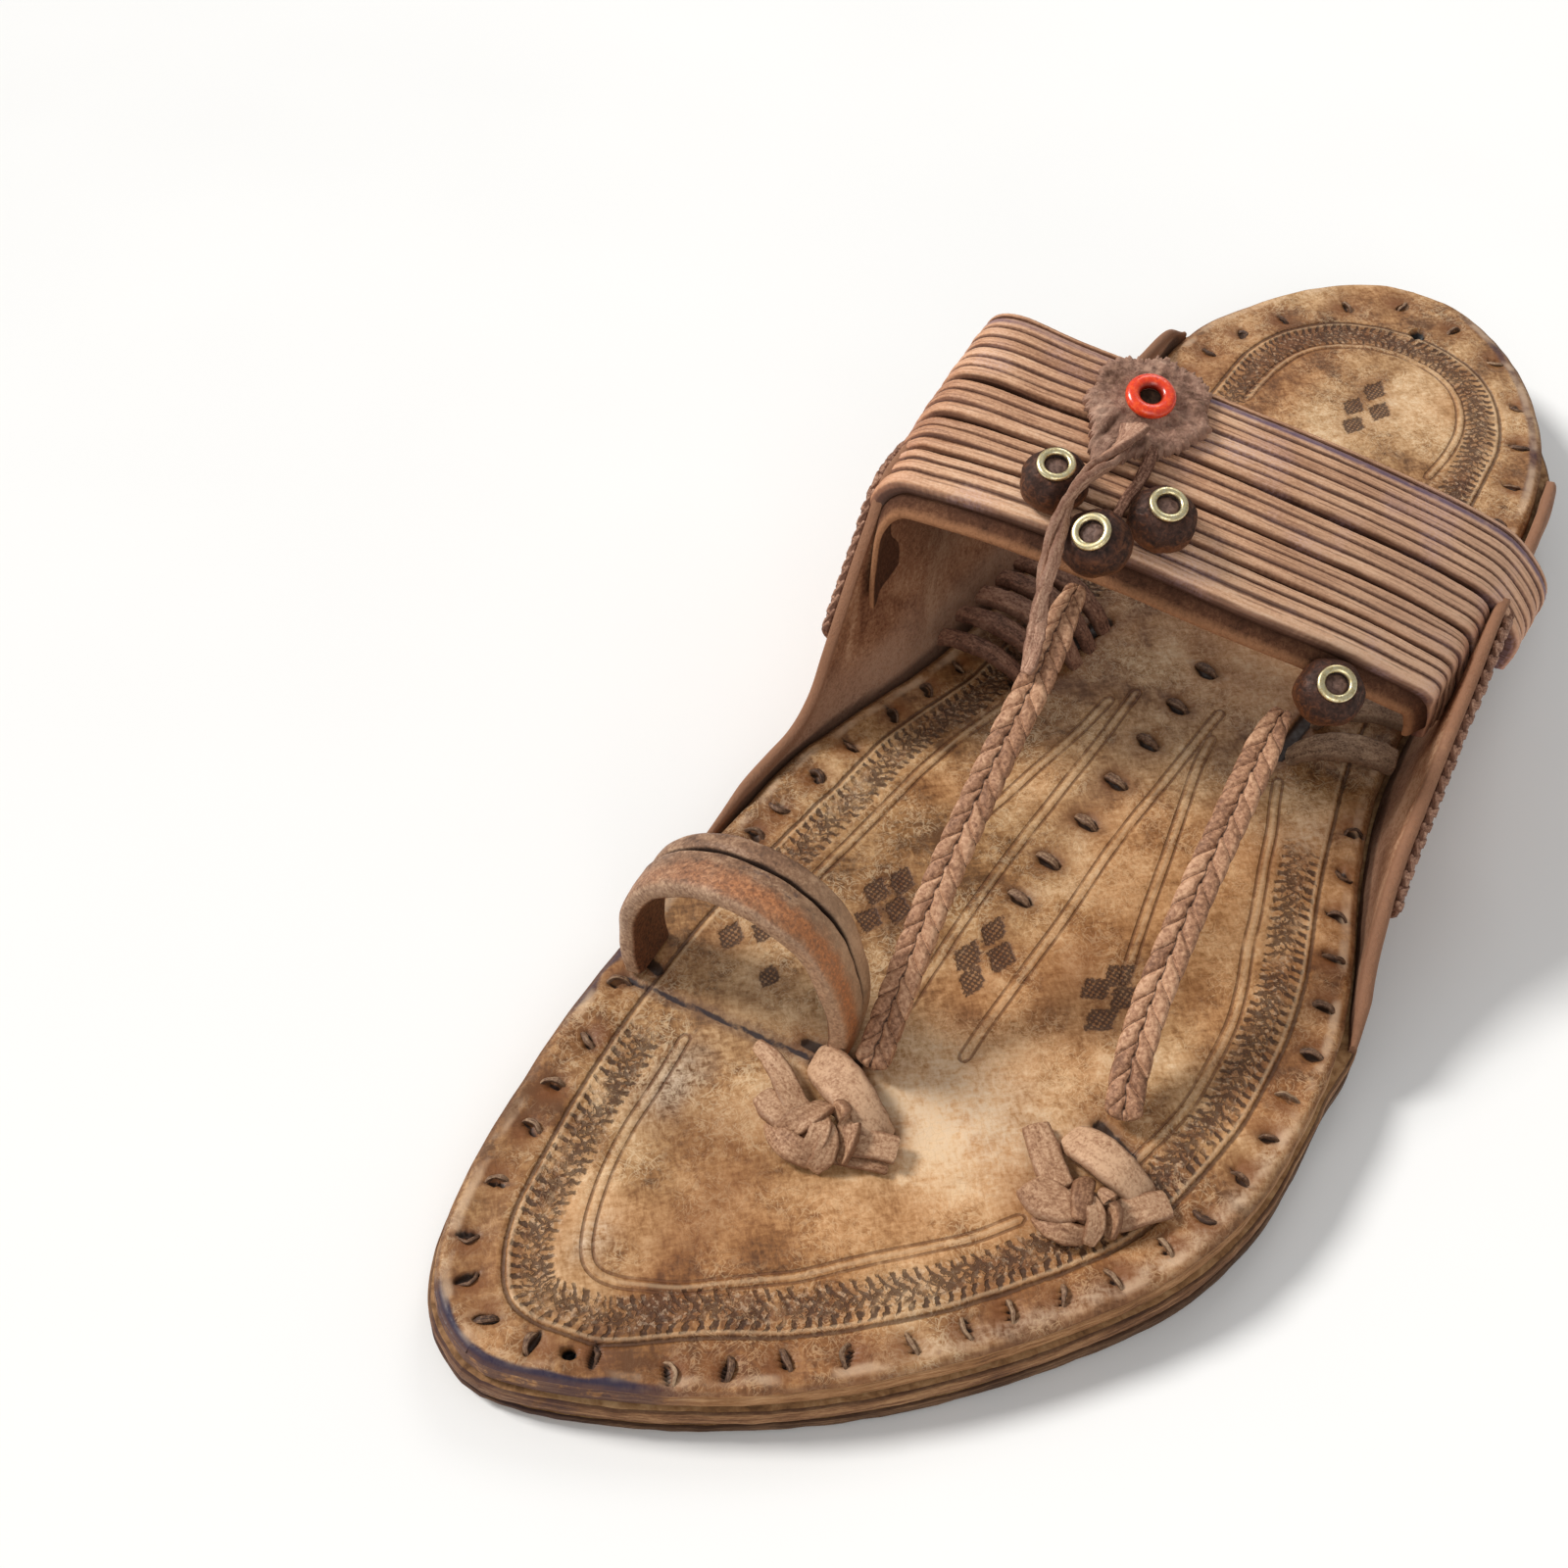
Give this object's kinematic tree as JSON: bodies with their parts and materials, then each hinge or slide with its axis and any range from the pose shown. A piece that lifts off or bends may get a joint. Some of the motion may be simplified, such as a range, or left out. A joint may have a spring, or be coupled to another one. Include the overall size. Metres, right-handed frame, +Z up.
{
  "type": "kolhapuri chappal",
  "caption": "Flat toe-loop leather sandal: stacked sole with tooled footbed, belted instep band on two side ears, braided thongs, domed beads and a scalloped rosette.",
  "frame": {"origin": "on the ground, centred under the shoe's bounding box", "axes": "+Y towards the heel, -Y towards the toe, +X towards the lateral (little-toe) side of this left shoe, +Z up"},
  "size_m": [0.1017, 0.2874, 0.0671],
  "materials": {
    "footbed": "vegetable-tanned footbed leather, burnished, tooled and mottled golden tan",
    "sole_edge": "stacked sole leather, worn brown cut edge",
    "heel_leather": "stacked heel leather, worn brown",
    "band_leather": "thin tan leather strips laid on edge, stained in the grooves",
    "loop_leather": "folded leather strip, tan with an orange-brown cut edge",
    "braid_leather": "thin braided leather thong, pinkish tan",
    "rosette_leather": "rough cut leather, suede face",
    "bead_leather": "dark brown waxed leather",
    "lacing_leather": "dark leather lacing strip, suede face",
    "brass": "pale polished brass",
    "red_ring": "glossy orange red"
  },
  "bodies": {
    "root": {"outsole": "sole_edge", "midsole": "sole_edge", "top_sole": "footbed", "heel_lift": "heel_leather", "upper": "band_leather", "toe_loop": "loop_leather", "braid_medial": "braid_leather", "braid_lateral": "braid_leather", "knot_medial": "braid_leather", "knot_lateral": "braid_leather", "rosette": "rosette_leather", "ring_red": "red_ring", "tail_strip": "braid_leather", "bead_1": "bead_leather", "eyelet_1": "brass", "bead_2": "bead_leather", "eyelet_2": "brass", "bead_3": "bead_leather", "eyelet_3": "brass", "bead_4": "bead_leather", "eyelet_4": "brass", "lacing_medial_1": "lacing_leather", "lacing_medial_2": "lacing_leather", "lacing_medial_3": "lacing_leather", "lacing_medial_4": "lacing_leather", "lacing_medial_5": "lacing_leather", "lacing_lateral_1": "lacing_leather", "lacing_lateral_2": "lacing_leather", "lacing_lateral_3": "lacing_leather"}
  },
  "joints": []
}
